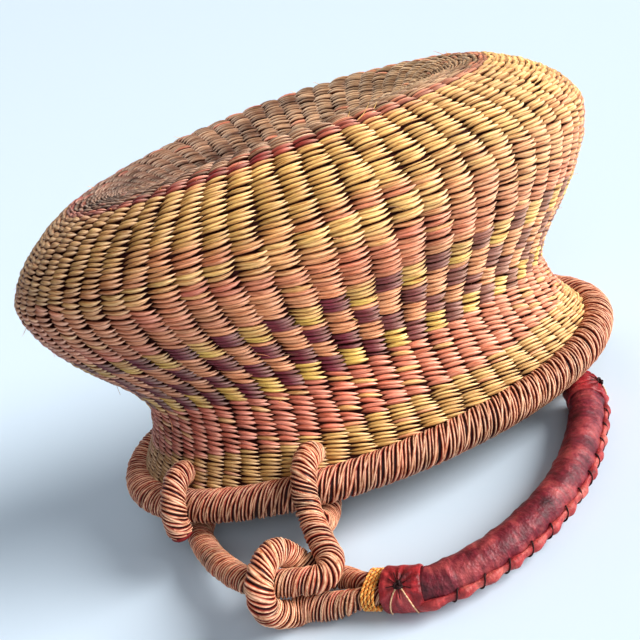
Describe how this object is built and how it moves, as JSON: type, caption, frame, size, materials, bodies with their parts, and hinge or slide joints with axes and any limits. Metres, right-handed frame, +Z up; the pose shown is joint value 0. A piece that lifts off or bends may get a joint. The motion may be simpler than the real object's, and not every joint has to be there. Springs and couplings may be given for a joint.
{
  "type": "grass egg basket",
  "caption": "Waisted oval egg basket of twined grass with dyed bands, a wrapped rim, two rope yokes and a leather-sleeved swing handle, standing on its mouth.",
  "frame": {"origin": "centre of the bounding box on the floor the basket stands on, mouth down", "axes": "+X along the long side of the mouth to the right, +Y away from the handle's arch, +Z up out of the basket's bottom; the mouth faces -Z"},
  "size_m": [0.268, 0.2242, 0.1637],
  "materials": {
    "rim_core": "split cane bundle, matt",
    "rim_binding": "coral dyed grass wrap, matt",
    "lower_straw_band": "olive straw twined grass",
    "salmon_band": "salmon dyed twined grass",
    "checker_band": "plum, peach and straw blocks of twined grass",
    "peach_band": "peach dyed twined grass",
    "upper_straw_band": "straw yellow twined grass",
    "wine_stripe": "wine red dyed twined grass",
    "base_weave": "natural tan twined grass",
    "yoke_front": "rope wrapped in coral grass",
    "yoke_back": "rope wrapped in coral grass",
    "handle_core": "rope wrapped in peach grass",
    "leather_sleeve": "maroon leather, soft sheen",
    "collar_front": "dark red leather",
    "collar_back": "dark red leather",
    "lashing_front": "golden twisted cord",
    "lashing_back": "golden twisted cord",
    "seam_flap": "coral red leather edge",
    "seam_lacing": "dark waxed thong",
    "collar_knot_front": "dark waxed knot",
    "collar_knot_back": "dark waxed knot"
  },
  "bodies": {
    "basket": {"rim_core": "rim_core", "rim_binding": "rim_binding", "lower_straw_band": "lower_straw_band", "salmon_band": "salmon_band", "checker_band": "checker_band", "peach_band": "peach_band", "upper_straw_band": "upper_straw_band", "wine_stripe": "wine_stripe", "base_weave": "base_weave"},
    "yoke_front_body": {"yoke_front": "yoke_front"},
    "yoke_back_body": {"yoke_back": "yoke_back"},
    "handle": {"handle_core": "handle_core", "leather_sleeve": "leather_sleeve", "collar_front": "collar_front", "collar_back": "collar_back", "lashing_front": "lashing_front", "lashing_back": "lashing_back", "seam_flap": "seam_flap", "seam_lacing": "seam_lacing", "collar_knot_front": "collar_knot_front", "collar_knot_back": "collar_knot_back"}
  },
  "joints": [
    {"name": "front_yoke_swing", "type": "hinge", "parent": "basket", "child": "yoke_front_body", "pos_m": [-0.06898, -0.02489, 0.0256], "axis": [0.9084, -0.418, 0], "range_deg": [0, 131]},
    {"name": "back_yoke_swing", "type": "hinge", "parent": "basket", "child": "yoke_back_body", "pos_m": [0.06898, 0.08061, 0.0256], "axis": [0.9084, -0.418, 0], "range_deg": [0, 131]},
    {"name": "handle_level", "type": "hinge", "parent": "yoke_front_body", "child": "handle", "pos_m": [-0.06033, -0.08171, 0.0173], "axis": [0.9084, -0.418, 0], "range_deg": [-131, 0]}
  ],
  "couplings": [
    {"joint": "back_yoke_swing", "follows": "front_yoke_swing", "ratio": 1},
    {"joint": "handle_level", "follows": "front_yoke_swing", "ratio": -1}
  ]
}
